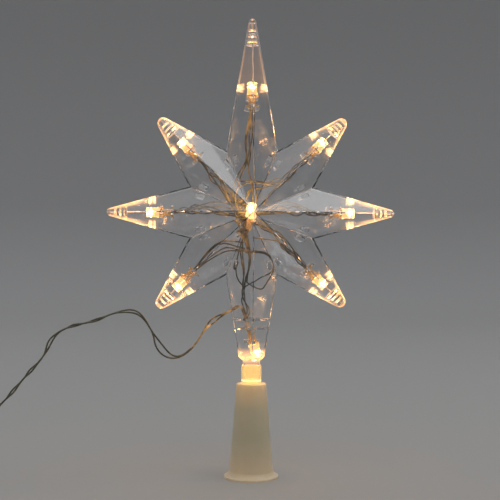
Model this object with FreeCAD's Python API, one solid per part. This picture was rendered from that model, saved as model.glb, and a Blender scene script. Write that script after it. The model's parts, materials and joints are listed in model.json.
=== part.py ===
"""Lit eight-pointed tree-top star on a conical socket, with its lead and battery pack.

Millimetres, +Z up. The origin is the centre of the socket's underside, and the star faces -Y.
Each function below makes one physical piece; build() writes one STEP file per piece.
"""

import FreeCAD, Part
import math
import os

Vec = FreeCAD.Vector
X, Y, Z = Vec(1, 0, 0), Vec(0, 1, 0), Vec(0, 0, 1)

# ---------------------------------------------------------------- driving dimensions
STAR_Z = 131.5            # height of the star's centre
HALF_DEPTH = 18.0         # centre of the star to the apex of either face
TIP_RIDGE = 3.0           # half thickness on the ridge at a tip
EDGE_RIDGE = 1.0          # half thickness at the corner between two rays
CORNER_R = 33.75          # radius of the corners between rays
WALL = 1.2                # side wall of the shells, in the plane of the star
FACET_DROP = 1.2          # facet wall, measured along Y
SEAM = 0.06               # gap that the snap fit leaves between the halves
SECTOR = 22.5             # half the angle between rays, degrees
CORNER_ALONG = CORNER_R * math.cos(math.radians(SECTOR))      # a corner's place, along a ray and across it
CORNER_ACROSS = CORNER_R * math.sin(math.radians(SECTOR))

# name: (angle clockwise from straight up, length, tip radius, start of the solid tip, lamp flange radius)
RAYS = {
    "top": (0, 97.0, 2.0, 84.0, 59.0),
    "upper_right": (45, 66.2, 3.0, 56.8, 45.7),
    "right": (90, 71.6, 2.0, 61.7, 45.3),
    "lower_right": (135, 65.3, 3.0, 56.1, 45.8),
    "bottom": (180, 97.0, 2.0, 72.6, 65.6),
    "lower_left": (225, 66.1, 3.0, 56.7, 47.6),
    "left": (270, 71.8, 2.0, 61.9, 46.1),
    "upper_left": (315, 65.3, 3.0, 55.5, 44.5),
}
# Lamps that lean: the flange's offset across the ray, and the angle in degrees.
LEANING = {"bottom": (-1.1, -15.0)}

FOOT_R, FOOT_HALF_WIDTH = 73.5, 6.1     # where the bottom ray is cut off, and its half width there
BOWL_TOP, BOWL_R, BOWL_WALL = 62.6, 7.7, 1.4     # the bottom ray's foot is rounded off below this height
NECK_TOP, NECK_R = 57.8, 4.25           # round neck under the bottom ray
SPIGOT_TOP, SPIGOT_END = 55.5, 38.0     # plug that carries the star
SPIGOT_R, SPIGOT_BORE = 4.0, 3.1
RUN_GAP = 0.06                          # radial clearance of the turning and sliding fits

NOTCH_Z, NOTCH_HEIGHT, NOTCH_DEPTH = 81.4, 6.4, 1.05     # lead's way out of the shells

POST_IN, POST_OUT, POST_WIDTH, POST_ANGLE = 24.6, 29.6, 2.2, 5.5
PIN_R, PIN_HOLE_R, PIN_LENGTH, PIN_HOLE_DEPTH = 0.7, 0.75, 1.6, 1.9

# Pockets in the solid tips: start and end as shares of the solid's length from the tip, width as a share of the
# outline's, and depth. The wall nearest the lamp slopes.
POCKETS = ((0.15, 0.50, 0.50, 1.5), (0.57, 0.74, 0.46, 1.2), (0.81, 0.94, 0.50, 1.0))
POCKET_SLOPE = 0.9

LENS_R, LENS_LENGTH, FLANGE_R, FLANGE_THICK = 2.2, 6.2, 2.55, 1.0
DIMPLE_R, DIMPLE_DEPTH = 1.7, 1.6
LEAD_SQUARE, LEAD_PITCH, LEAD_NEAR, LEAD_TAIL = 0.45, 2.54, 1.5, 4.4    # a lamp's leads bend together
SLEEVE = ((0.0, 2.1), (3.0, 1.6), (7.2, 1.45))  # distance behind the flange, outer radius
SLEEVE_WALL = 0.3
CRADLES = ((1.5, 2.9), (6.5, 3.4))              # behind the lamp's flange: distance, half width
FOOT_CRADLES = ((1.5, 3.6), (8.1, 7.0), (12.6, 8.2))
CRADLE_THICK, CRADLE_GAP, WIRE_ROOM_R, WIRE_ROOM_END = 1.1, 0.06, 1.6, 16.0

COLLAR_R, COLLAR_LOW = 5.0, 36.0
CONE_TOP, CONE_R_TOP, CONE_R_LOW = 46.5, 7.4, 10.9
CONE_MOUTH_R, CONE_MOUTH_LENGTH = 9.6, 6.0
CONE_ROOF, CONE_R_ROOF, LEDGE_R, LEDGE_TOP = 33.0, 6.1, 4.3, 36.0
FOOT_FLANGE_R, FOOT_FLANGE_THICK, FOOT_FLARE = 13.5, 0.9, 3.2

WIRE_BUNDLE_R = 0.8
LEAD_R = 0.85             # the lead is a twisted pair of 0.85 mm wires
COIL_X, COIL_R, COIL_HALF_WIDTH, COIL_LOW, COIL_HEIGHT = -150.0, 9.5, 2.75, 0.55, 3.6
TIE_GAP, TIE_THICK, TIE_WIDTH = 0.2, 0.35, 3.0

PACK_X, PACK_LENGTH, PACK_HALF_WIDTH, PACK_HEIGHT = -182.0, 72.0, 17.0, 18.4
PACK_WALL, PACK_FLOOR, BAY_LENGTH = 1.8, 1.4, 54.0
GROOVE_LOW, GROOVE_HIGH, GROOVE_DEPTH = 16.2, 17.4, 0.8
CELL_R, CELL_LENGTH, CELL_PITCH, NUB_R, NUB_LENGTH = 7.1, 48.6, 14.8, 2.7, 1.3
LEAD_INLET_Z, KNOB_GAP, SPRING_ROOM = 6.0, 0.3, 3.3

# Wiring routes behind each lamp: offsets in X and Z from the star's centre, then Y.
WIRING = {
    "top": [(-0.5, 45.0, 0.0), (-2.5, 36.0, -0.5), (-3.2, 27.0, -0.5), (-6.0, 18.0, 1.0), (-5.0, 8.0, 1.0),
            (-4.0, 3.0, 0.5)],
    "upper_right": [(21.0, 20.5, 0.0), (14.0, 14.6, 0.0), (6.0, 14.4, 1.5), (-1.5, 12.0, 2.5),
                    (-3.8, 4.0, 1.0)],
    "right": [(30.0, -0.6, 0.0), (21.0, 1.2, 0.6), (11.0, 0.8, 0.4), (3.0, -0.4, -1.0), (-3.4, -1.0, -1.0)],
    "lower_right": [(22.0, -21.5, 0.0), (15.5, -14.0, 0.5), (9.0, -8.0, 3.0), (2.0, -4.6, 4.4),
                    (-3.4, -4.6, 1.0)],
    "bottom": [(-2.4, -54.0, 0.0), (-3.4, -46.0, 0.4), (-3.9, -36.0, 0.2)],
    "lower_left": [(-23.0, -22.5, 0.0), (-16.0, -14.5, 0.0), (-9.0, -12.5, 0.5), (-2.9, -13.5, 0.4)],
    "left": [(-32.0, 1.0, 0.0), (-22.0, 1.6, -0.6), (-12.0, -0.8, 0.0), (-3.0, -2.0, 0.4)],
    "upper_left": [(-20.5, 20.0, 0.0), (-13.5, 12.0, -0.8), (-8.5, 4.0, -0.5), (-3.0, -4.0, 0.0)],
}
# The wires cross in a bundle behind the centre. Their slack makes a loop between two posts.
CORE_X, CORE_R, CORE_HIGH, CORE_LOW = -3.4, 1.7, 5.5, -37.0
SLACK_LOOP = [(-2.6, -19.8, -0.8), (2.6, -18.9, -2.4), (8.6, -20.6, -2.2), (11.0, -26.8, -1.0),
              (8.6, -33.2, -1.0), (4.2, -37.4, -1.6), (-1.2, -36.6, -1.4), (-3.2, -33.6, -0.4)]
# The lead comes in over the bundle and turns down into it.
LEAD_INSIDE = [(-3.4, -50.0, 0.3), (-4.7, -47.0, 0.1), (-7.6, -46.9, 0.0), (-10.6, -48.9, 0.0)]

# Centre lamps: flange centre from the star's centre, and the way that the lamp points.
CENTRE_LAMPS = {
    "centre_front": (Vec(-1.3, -8.5, -1.8), Vec(0.1, -0.6, 0.79)),
    "centre_rear": (Vec(0.3, 6.4, 0.3), Vec(0.0, 0.85, 0.53)),
}
CENTRE_WIRING = {
    "centre_front": [(-3.3, -13.6, -0.2)],
    "centre_rear": [(-0.8, -8.4, -0.9), (-3.3, -11.6, -0.2)],
}
CENTRE_STRAIGHT = 4.0                   # straight run of wire behind a centre lamp

# The lead outside, (X, Y, Z): out of the notch, down in a slack wave, over and down to the floor.
LEAD_OUTSIDE = [
    (-10.6, 0.0, 82.6), (-16.8, -0.4, 79.8), (-22.8, -1.0, 74.6), (-28.0, -1.6, 65.4), (-36.6, -2.4, 58.7),
    (-44.6, -3.2, 62.4), (-50.0, -3.8, 74.4), (-56.2, -4.2, 83.0), (-66.8, -4.6, 82.4), (-77.6, -4.6, 77.6),
    (-89.8, -4.4, 75.4), (-98.2, -3.8, 70.0), (-101.6, -3.0, 60.6), (-110.0, -2.2, 51.8), (-119.4, -1.4, 40.4),
    (-126.4, -0.9, 33.6), (-131.0, -0.8, 24.8), (-134.6, -1.6, 15.6), (-137.8, -3.6, 6.2), (-140.6, -6.4, 1.3),
]
LEAD_TO_PACK = [(-151.0, -10.6, 2.6), (-157.4, -11.0, 2.8), (-163.6, -9.6, 3.3), (-168.8, -6.2, 4.1),
                (-173.2, -2.3, 5.2), (-177.9, 0.0, 6.0), (-183.2, 0.0, 6.0)]


# ---------------------------------------------------------------- small helpers
def unit(v):
    return Vec(v).normalize()


def cylinder(radius, length, at=Vec(0, 0, 0), way=Z):
    return Part.makeCylinder(radius, length, at, way)


def box(low, high):
    """The box between two opposite corners."""
    size = [b - a for a, b in zip(low, high)]
    return Part.makeBox(*size, Vec(*low))


def revolve(points):
    """A solid of revolution about Z from (radius, height) points joined by straight lines."""
    loop = [Vec(r, 0, z) for r, z in points]
    face = Part.Face(Part.makePolygon(loop + loop[:1]))
    return face.revolve(Vec(0, 0, 0), Z, 360)


def extruded(points, vector):
    face = Part.Face(Part.makePolygon(points + points[:1]))
    return face.extrude(vector)


def aim(shape, at, way):
    """A copy of a shape made along +Z from the origin, pointing along way from at."""
    moved = shape.copy()
    moved.Placement = FreeCAD.Placement(at, FreeCAD.Rotation(Z, unit(way)))
    return moved


def mirrored(shape):
    return shape.mirror(Vec(0, 0, 0), Y)


def biggest(shape):
    return max(shape.Solids, key=lambda s: s.Volume)


def in_star(across, along, depth=0.0):
    """A point given by its offsets in X and Z from the star's centre, and its Y."""
    return Vec(across, depth, STAR_Z + along)


def ray_ways(angle):
    """The unit vectors along and across a ray."""
    a = math.radians(angle)
    return Vec(math.sin(a), 0, math.cos(a)), Vec(math.cos(a), 0, -math.sin(a))


def on_ray(angle, along, across, depth=0.0):
    out, side = ray_ways(angle)
    return Vec(0, 0, STAR_Z) + out * along + side * across + Y * depth


def arc_path(points):
    """Straight runs joined by tangent arcs, each as large as its two runs allow. Returns (wire, arc radii)."""
    edges, radii, start = [], [], points[0]
    for before, here, after in zip(points, points[1:], points[2:]):
        back, on = before - here, after - here
        half_turn = (math.pi - back.getAngle(on)) / 2
        trim = 0.45 * min(back.Length, on.Length)
        first, last = here + unit(back) * trim, here + unit(on) * trim
        radius = trim / math.tan(half_turn)
        centre = here + unit(unit(back) + unit(on)) * math.hypot(trim, radius)
        middle = centre + unit(here - centre) * radius
        edges += [Part.LineSegment(start, first).toShape(), Part.Arc(first, middle, last).toShape()]
        radii.append(radius)
        start = last
    edges.append(Part.LineSegment(start, points[-1]).toShape())
    return Part.Wire(edges), radii


def tube(points, radius):
    """A round tube along arc_path. Its volume is its section times its length."""
    path, radii = arc_path(points)
    ring = Part.Wire(Part.Circle(points[0], points[1] - points[0], radius).toShape())
    solid = Part.Wire(path).makePipeShell([ring], True, False)
    expected = math.pi * radius**2 * path.Length
    if abs(solid.Volume - expected) > 0.01 * expected:
        raise ValueError(f"tube volume {solid.Volume:.1f} and not {expected:.1f}")
    return biggest(solid), radii, path.Length


# ---------------------------------------------------------------- star shells
def facet_slopes(length):
    """How fast a facet falls along the ray and across it."""
    along = (HALF_DEPTH - TIP_RIDGE) / length
    across = (HALF_DEPTH - EDGE_RIDGE - along * CORNER_ALONG) / CORNER_ACROSS
    return along, across


def facet_roof():
    """The closed polyhedron under the sixteen facets of the front face, a little wider than the star."""
    past_corner = 1.03
    apex = in_star(0, 0, -HALF_DEPTH)
    rim_top, rim_low, faces = [], [], []
    for name, (angle, length, tip_r, _, _) in RAYS.items():
        along, across = facet_slopes(length)
        end, half = length + 0.5, 1.1 * tip_r if tip_r < 3 else 3.1
        if name == "bottom":
            end, half = FOOT_R + 1.0, FOOT_HALF_WIDTH + 0.4

        def depth_at(a, p, along=along, across=across):
            return HALF_DEPTH - along * a - across * abs(p)

        corner_a, corner_p = past_corner * CORNER_ALONG, past_corner * CORNER_ACROSS
        plan = [(corner_a, -corner_p), (end, -half), (end, 0), (end, half), (corner_a, corner_p)]
        top = [on_ray(angle, a, p, -depth_at(a, p)) for a, p in plan]
        for side in (top[:3], top[2:]):
            faces.append([apex] + side)
        rim_top += top[:-1]
        rim_low += [on_ray(angle, a, p) for a, p in plan[:-1]]
    count = len(rim_top)
    for i in range(count):
        j = (i + 1) % count
        faces.append([rim_low[i], rim_low[j], rim_top[j], rim_top[i]])
    faces.append(rim_low)
    shell = Part.Shell([Part.Face(Part.makePolygon(f + f[:1])) for f in faces])
    solid = Part.Solid(shell)
    if solid.Volume < 0:
        solid.reverse()
    return solid


def corner_point(angle, sign, radius=CORNER_R):
    share = radius / CORNER_R
    return on_ray(angle, share * CORNER_ALONG, sign * share * CORNER_ACROSS)


def tip_touch(length, tip_r):
    """Where the side of a ray meets the round of its tip, as (along, across)."""
    centre = length - tip_r
    reach = math.hypot(CORNER_ALONG - centre, CORNER_ACROSS)
    angle = math.atan2(CORNER_ACROSS, CORNER_ALONG - centre) - math.acos(tip_r / reach)
    return centre + tip_r * math.cos(angle), tip_r * math.sin(angle)


def side_end(name):
    """Where the straight side of a ray ends, as (along, across)."""
    _, length, tip_r, _, _ = RAYS[name]
    return (FOOT_R, FOOT_HALF_WIDTH) if name == "bottom" else tip_touch(length, tip_r)


def half_width(name, along):
    """Half the width of a ray's outline at a distance from the star's centre."""
    _, length, tip_r, _, _ = RAYS[name]
    end_along, end_across = side_end(name)
    if along > end_along:
        return math.sqrt(max(0.0, tip_r**2 - (along - length + tip_r) ** 2))
    return end_across + (CORNER_ACROSS - end_across) * (end_along - along) / (end_along - CORNER_ALONG)


def outline_prism():
    """The star's outline, tips rounded, extruded from the parting plane past the front apex."""
    edges = []
    for name, (angle, length, _, _, _) in RAYS.items():
        along, across = side_end(name)
        left, right = on_ray(angle, along, -across), on_ray(angle, along, across)
        edges.append(Part.LineSegment(corner_point(angle, -1), left).toShape())
        if name == "bottom":
            edges.append(Part.LineSegment(left, right).toShape())
        else:
            edges.append(Part.Arc(left, on_ray(angle, length, 0), right).toShape())
        edges.append(Part.LineSegment(right, corner_point(angle, 1)).toShape())
    return Part.Face(Part.Wire(edges)).extrude(-Y * (HALF_DEPTH + 2))


def cavity_prism():
    """The inside outline: the outline set in by the wall, each ray stopped where its tip is solid."""
    corner_in = CORNER_R - WALL / math.sin(math.radians(36))
    points = []
    for name, (angle, _, _, solid_from, _) in RAYS.items():
        along, across = side_end(name)
        slope = (CORNER_ACROSS - across) / (along - CORNER_ALONG)
        half = CORNER_ACROSS - slope * (solid_from - CORNER_ALONG) - WALL * math.hypot(1, slope)
        points += [corner_point(angle, -1, corner_in), on_ray(angle, solid_from, -half),
                   on_ray(angle, solid_from, half)]
    lift = Y * 1.0
    return extruded([p + lift for p in points], -Y * (HALF_DEPTH + 2))


def bowl_cut():
    """What is cut from the foot of the bottom ray to leave its rounded bowl."""
    outer = 14.0
    curve = Part.Arc(Vec(BOWL_R, 0, BOWL_TOP), Vec(6.1, 0, 59.4), Vec(NECK_R, 0, NECK_TOP)).toShape()
    corners = [Vec(NECK_R, 0, NECK_TOP), Vec(NECK_R, 0, NECK_TOP - 2), Vec(outer, 0, NECK_TOP - 2),
               Vec(outer, 0, BOWL_TOP), Vec(BOWL_R, 0, BOWL_TOP)]
    lines = [Part.LineSegment(a, b).toShape() for a, b in zip(corners, corners[1:])]
    return Part.Face(Part.Wire([curve] + lines)).revolve(Vec(0, 0, 0), Z, 360)


def post_angles():
    """Each corner between rays has a post either side of its crease."""
    return [row[0] + SECTOR + sign * POST_ANGLE for row in RAYS.values() for sign in (-1, 1)]


def post_prisms():
    """The obround posts, from the parting plane past the front apex."""
    posts = []
    radius = POST_WIDTH / 2
    inner, outer = POST_IN + radius, POST_OUT - radius
    for angle in post_angles():
        ends = [on_ray(angle, inner, -radius), on_ray(angle, outer, -radius), on_ray(angle, outer, radius),
                on_ray(angle, inner, radius)]
        edges = [Part.LineSegment(ends[0], ends[1]).toShape(),
                 Part.Arc(ends[1], on_ray(angle, POST_OUT, 0), ends[2]).toShape(),
                 Part.LineSegment(ends[2], ends[3]).toShape(),
                 Part.Arc(ends[3], on_ray(angle, POST_IN, 0), ends[0]).toShape()]
        posts.append(Part.Face(Part.Wire(edges)).extrude(-Y * HALF_DEPTH))
    return posts


def post_pins(radius, start, length):
    """Round pins, or holes for them, at the inner end of each post. They run along +Y from start."""
    return [cylinder(radius, length, on_ray(a, POST_IN + POST_WIDTH / 2, 0, start), Y) for a in post_angles()]


def cradle_ribs():
    """Plates across each ray, behind its lamp."""
    ribs = []
    for name, (angle, _, _, _, flange) in RAYS.items():
        for back, half in FOOT_CRADLES if name == "bottom" else CRADLES:
            low = flange - back - CRADLE_THICK / 2
            high = low + CRADLE_THICK
            plan = [on_ray(angle, low, -half, -0.15), on_ray(angle, low, half, -0.15),
                    on_ray(angle, high, half, -0.15), on_ray(angle, high, -half, -0.15)]
            ribs.append(extruded(plan, -Y * HALF_DEPTH))
    return ribs


def lamp_rooms():
    """The room that each ray's sleeve and wires take in the ribs."""
    sleeve = [(radius + CRADLE_GAP, -back) for back, radius in SLEEVE]
    behind = SLEEVE[-1][0]
    room = revolve([(0, 0.1), (sleeve[0][0], 0.1)] + sleeve
                   + [(WIRE_ROOM_R, -behind), (WIRE_ROOM_R, -WIRE_ROOM_END), (0, -WIRE_ROOM_END)])
    return [aim(room, at, way) for name, (at, way) in lamp_places().items() if name in RAYS]


def tip_pockets():
    """Pockets in the parting face of each solid tip, which keep the moulding from sinking."""
    pockets = []
    for name, (angle, length, _, solid_from, _) in RAYS.items():
        if name == "bottom":
            continue
        for near_tip, near_lamp, width, depth in POCKETS:
            high, low = (length - share * (length - solid_from) for share in (near_tip, near_lamp))
            half = width * half_width(name, (low + high) / 2)
            profile = [(low, 0.5), (low, 0), (low + POCKET_SLOPE * depth, -depth), (high, -depth), (high, 0.5)]
            points = [on_ray(angle, along, -half, y) for along, y in profile]
            pockets.append(extruded(points, ray_ways(angle)[1] * 2 * half))
    return pockets


def half_tube(radius, low, high):
    """The front half of an upright cylinder."""
    return cylinder(radius, high - low, Vec(0, 0, low)).common(box((-20, -20, low - 1), (20, 0, high + 1)))


def front_half():
    """The front shell without its pins, which is also the back shell's mirror image."""
    roof = facet_roof()
    outer = roof.common(outline_prism()).cut(bowl_cut())
    cavity = roof.translated(Y * FACET_DROP).common(cavity_prism()).cut(bowl_cut().translated(Z * BOWL_WALL))
    body = outer.cut(cavity)
    body = body.multiFuse([shape.common(outer) for shape in post_prisms() + cradle_ribs()])
    body = body.multiFuse([half_tube(NECK_R, SPIGOT_TOP, NECK_TOP + 2.0),
                           half_tube(SPIGOT_R, SPIGOT_END, SPIGOT_TOP)])
    bore_top = STAR_Z - RAYS["bottom"][3] + 1
    bore = cylinder(SPIGOT_BORE, bore_top - SPIGOT_END + 1, Vec(0, 0, SPIGOT_END - 1))
    notch = box((-13, -NOTCH_DEPTH, NOTCH_Z - NOTCH_HEIGHT / 2), (-6.5, 1, NOTCH_Z + NOTCH_HEIGHT / 2))
    seam = box((-200, -SEAM / 2, 0), (200, 5, 400))
    body = body.cut(Part.makeCompound(lamp_rooms())).cut(Part.makeCompound(tip_pockets()))
    return body.cut(bore).cut(notch).cut(seam).removeSplitter()


def shells():
    half = front_half()
    front = half.multiFuse(post_pins(PIN_R, -0.5, PIN_LENGTH + 0.5)).removeSplitter()
    back = mirrored(half).cut(Part.makeCompound(post_pins(PIN_HOLE_R, -0.1, PIN_HOLE_DEPTH + 0.1)))
    return {"front_shell": biggest(front), "back_shell": biggest(back)}


# ---------------------------------------------------------------- lamps
def lead_frame():
    """The two leads of a lamp along +Z: the anvil with its cup, and the thin post. They bend together behind."""
    half = LEAD_SQUARE / 2

    def lead(side, top):
        way = [(LEAD_PITCH / 2, top), (LEAD_PITCH / 2, -1.2), (LEAD_NEAR / 2, -3.4), (LEAD_NEAR / 2, -LEAD_TAIL)]
        points = [Vec(side * (x - half), -half, z) for x, z in way]
        points += [Vec(side * (x + half), -half, z) for x, z in reversed(way)]
        return extruded(points, Y * LEAD_SQUARE)

    anvil = lead(-1, 2.4).fuse(box((-1.6, -0.7, 2.0), (0.3, 0.7, 3.6)))
    anvil = anvil.cut(Part.makeCone(0.35, 0.6, 0.7, Vec(-0.5, 0, 2.95)))
    post = lead(1, 3.0).fuse(box((0.7, -half, 2.6), (1.6, half, 3.5)))
    return [anvil, post]


def lamp_lens():
    """Clear body with its flange, the flat that marks the polarity, and the hollow nose that spreads the light."""
    lens = cylinder(FLANGE_R, FLANGE_THICK).fuse(cylinder(LENS_R, LENS_LENGTH)).removeSplitter()
    rim = [e for e in lens.Edges if e.BoundBox.ZMin > LENS_LENGTH - 0.01]
    lens = lens.makeFillet(0.25, rim)
    lens = lens.cut(box((-4, -4, -0.5), (-LENS_R - 0.12, 4, FLANGE_THICK + 0.01)))
    nose = Part.makeCone(0.15, DIMPLE_R, DIMPLE_DEPTH + 0.05, Vec(0, 0, LENS_LENGTH - DIMPLE_DEPTH))
    return lens.cut(nose).cut(Part.makeCompound(lead_frame()))


def lamp_sleeve():
    """Shrunk tube over the lamp's leads."""
    outer = [(radius, -back) for back, radius in SLEEVE]
    inner = [(radius - SLEEVE_WALL, -back) for back, radius in reversed(SLEEVE)]
    return revolve(outer + inner)


def lamp_places():
    """Name: (flange centre, way) of every lamp."""
    places = {}
    for name, (angle, _, _, _, flange) in RAYS.items():
        across, lean = LEANING.get(name, (0.0, 0.0))
        places[name] = on_ray(angle, flange, across), ray_ways(angle + lean)[0]
    for name, (offset, way) in CENTRE_LAMPS.items():
        places[name] = Vec(0, 0, STAR_Z) + offset, unit(way)
    return places


def lamps():
    nodes = {}
    lens, sleeve, leads = lamp_lens(), lamp_sleeve(), Part.makeCompound(lead_frame())
    for name, (at, way) in lamp_places().items():
        nodes["lamp_lens_" + name] = aim(lens, at, way)
        nodes["lamp_sleeve_" + name] = aim(sleeve, at, way)
        nodes["lamp_leads_" + name] = aim(leads, at, way)
    return nodes


# ---------------------------------------------------------------- wiring
def wiring_core():
    """The bundle where all wires cross, with the loop of their slack."""
    core = cylinder(CORE_R, CORE_HIGH - CORE_LOW, in_star(CORE_X, CORE_LOW))
    core = core.makeFillet(0.9, [e for e in core.Edges if e.Length > 1 and e.Closed and len(e.Vertexes) == 1])
    loop, _, _ = tube([in_star(*p) for p in SLACK_LOOP], WIRE_BUNDLE_R)
    return core.fuse(loop).removeSplitter()


def wiring():
    """Bundles from each lamp to the crossing of the wires, each trimmed where it meets what is made before it."""
    routes = {}
    for name, (at, way) in lamp_places().items():
        start = at - way * (LEAD_TAIL + 0.1)
        straight = [] if name in WIRING else [start - way * CENTRE_STRAIGHT]
        routes["wiring_" + name] = [start] + straight + [in_star(*p) for p in {**WIRING, **CENTRE_WIRING}[name]]
    routes["lead_inside"] = [in_star(*p) for p in LEAD_INSIDE]
    nodes = {"wiring_core": wiring_core()}
    for name, points in routes.items():
        solid, _, _ = tube(points, LEAD_R if name == "lead_inside" else WIRE_BUNDLE_R)
        for other in list(nodes.values()):
            solid = biggest(solid.cut(other))
        nodes[name] = solid
    centre = [nodes.pop("wiring_" + name) for name in CENTRE_WIRING]
    nodes["wiring_centre"] = Part.makeCompound(centre)
    return nodes


def lead_outside(inside):
    """The free lead from where the lead inside ends: down to the floor, a neat coil, and into the battery pack."""
    cord, radii, length = tube([Vec(*p) for p in LEAD_OUTSIDE], LEAD_R)
    tail, tail_radii, tail_length = tube([Vec(*p) for p in LEAD_TO_PACK], LEAD_R)
    print("lead arc radii", [round(r, 1) for r in radii + tail_radii], "length", round(length + tail_length, 1))
    low, high = COIL_LOW, COIL_LOW + COIL_HEIGHT
    near, far, soft = COIL_R - COIL_HALF_WIDTH, COIL_R + COIL_HALF_WIDTH, 1.0
    coil = revolve([(near, low + soft), (near + soft, low), (far - soft, low), (far, low + soft),
                    (far, high - soft), (far - soft, high), (near + soft, high), (near, high - soft)])
    coil = coil.translated(Vec(COIL_X, 0, 0))
    reach, half = COIL_HALF_WIDTH + TIE_GAP, TIE_WIDTH / 2
    outer = box((COIL_X - half, -COIL_R - reach - TIE_THICK, low - TIE_GAP - TIE_THICK),
                (COIL_X + half, -COIL_R + reach + TIE_THICK, high + TIE_GAP + TIE_THICK))
    inner = box((COIL_X - TIE_WIDTH, -COIL_R - reach, low - TIE_GAP),
                (COIL_X + TIE_WIDTH, -COIL_R + reach, high + TIE_GAP))
    return {"lead_cord": biggest(cord.cut(coil).cut(inside)), "lead_coil": coil,
            "lead_tail": biggest(tail.cut(coil)), "coil_tie": outer.cut(inner)}


# ---------------------------------------------------------------- collar and cone
def collar():
    """Tube that turns on the star's spigot, with a shallow window either side and a groove above the socket."""
    inner = SPIGOT_R + RUN_GAP
    groove_low, groove_high, groove_r = CONE_TOP + 1.4, CONE_TOP + 1.8, COLLAR_R - 0.25
    body = revolve([(inner, COLLAR_LOW), (COLLAR_R - 0.4, COLLAR_LOW), (COLLAR_R, COLLAR_LOW + 0.4),
                    (COLLAR_R, groove_low), (groove_r, groove_low), (groove_r, groove_high), (COLLAR_R, groove_high),
                    (COLLAR_R, SPIGOT_TOP - 0.45), (COLLAR_R - 0.3, SPIGOT_TOP - 0.1), (inner, SPIGOT_TOP - 0.1)])
    window = box((-2.3, -6, CONE_TOP + 3.4), (2.3, -COLLAR_R + 0.35, SPIGOT_TOP - 1.6))
    return body.cut(window).cut(window.mirror(Vec(0, 0, 0), Y))


def cone():
    """Socket that goes over the tree's leader, with its flared foot and the seat for the collar."""
    seat = COLLAR_R + RUN_GAP
    return revolve([(CONE_MOUTH_R, 0), (FOOT_FLANGE_R, 0), (FOOT_FLANGE_R, FOOT_FLANGE_THICK),
                    (12.2, 1.5), (11.4, 2.3), (CONE_R_LOW, FOOT_FLARE), (CONE_R_TOP, CONE_TOP - 0.3),
                    (CONE_R_TOP - 0.3, CONE_TOP), (seat, CONE_TOP), (seat, LEDGE_TOP - 0.05),
                    (LEDGE_R, LEDGE_TOP - 0.05), (LEDGE_R, CONE_ROOF), (CONE_R_ROOF, CONE_ROOF),
                    (CONE_MOUTH_R, CONE_MOUTH_LENGTH)])


# ---------------------------------------------------------------- battery pack
def pack_case():
    left, right, half = PACK_X - PACK_LENGTH, PACK_X, PACK_HALF_WIDTH
    body = box((left, -half, 0), (right, half, PACK_HEIGHT))
    upright = [e for e in body.Edges if abs(e.BoundBox.ZLength - PACK_HEIGHT) < 0.01]
    body = body.makeFillet(2.5, upright)
    inner = half - PACK_WALL
    bay_right = left + PACK_WALL + BAY_LENGTH
    body = body.cut(box((left + PACK_WALL, -inner, PACK_FLOOR), (bay_right, inner, 30)))
    body = body.cut(box((bay_right + PACK_WALL, -inner, PACK_FLOOR), (right - PACK_WALL, inner, 30)))
    for side in (-1, 1):
        low, high = sorted((side * (inner - 0.1), side * (inner + GROOVE_DEPTH)))
        body = body.cut(box((left - 1, low, GROOVE_LOW), (right - PACK_WALL, high, GROOVE_HIGH)))
    body = body.cut(box((left - 1, -inner, GROOVE_LOW), (right - PACK_WALL, inner, 30)))
    return body.cut(cylinder(1.9, 4, Vec(right - 3, 0, LEAD_INLET_Z), X))


def pack_cover():
    """Slides out along -X. Ridges for the thumb stand on it."""
    left, bay_right = PACK_X - PACK_LENGTH, PACK_X - PACK_LENGTH + PACK_WALL + BAY_LENGTH
    inner = PACK_HALF_WIDTH - PACK_WALL
    plate = box((left + 0.2, -inner - GROOVE_DEPTH + 0.1, GROOVE_LOW + 0.1),
                (bay_right, inner + GROOVE_DEPTH - 0.1, GROOVE_HIGH - 0.1))
    crown = box((left + 0.2, -inner + 0.15, GROOVE_LOW + 0.1), (bay_right, inner - 0.15, PACK_HEIGHT))
    ridges = [box((left + 6 + 2.2 * i, -7, PACK_HEIGHT - 0.1), (left + 7.1 + 2.2 * i, 7, PACK_HEIGHT + 0.5))
              for i in range(5)]
    return plate.fuse(crown).multiFuse(ridges).removeSplitter()


def pack_deck():
    """Fixed lid over the circuit, with the switch's slot."""
    bay_right = PACK_X - PACK_LENGTH + PACK_WALL + BAY_LENGTH
    inner = PACK_HALF_WIDTH - PACK_WALL
    plate = box((bay_right + 0.2, -inner - GROOVE_DEPTH + 0.1, GROOVE_LOW + 0.1),
                (PACK_X - PACK_WALL - 0.1, inner + GROOVE_DEPTH - 0.1, GROOVE_HIGH - 0.1))
    crown = box((bay_right + 0.2, -inner + 0.15, GROOVE_LOW + 0.1),
                (PACK_X - PACK_WALL - 0.1, inner - 0.15, PACK_HEIGHT))
    slot = box((PACK_X - 9.8, -3.8, 0), (PACK_X - 6.6, 3.8, 30))
    return plate.fuse(crown).removeSplitter().cut(slot)


def switch_knob():
    """Slider on its stem, at one end of its travel along Y."""
    middle = PACK_X - 8.2
    low, high = PACK_HEIGHT + KNOB_GAP, PACK_HEIGHT + KNOB_GAP + 1.2
    stem = box((middle - 1.1, -3.4, 13.2), (middle + 1.1, -1.2, low + 0.1))
    head = box((middle - 1.8, -5.2, low), (middle + 1.8, 0.6, high))
    grips = [box((middle - 1.8, -4.4 + 1.5 * i, high - 0.1), (middle + 1.8, -3.8 + 1.5 * i, high + 0.3))
             for i in range(4)]
    return stem.fuse(head).multiFuse(grips).removeSplitter()


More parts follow.
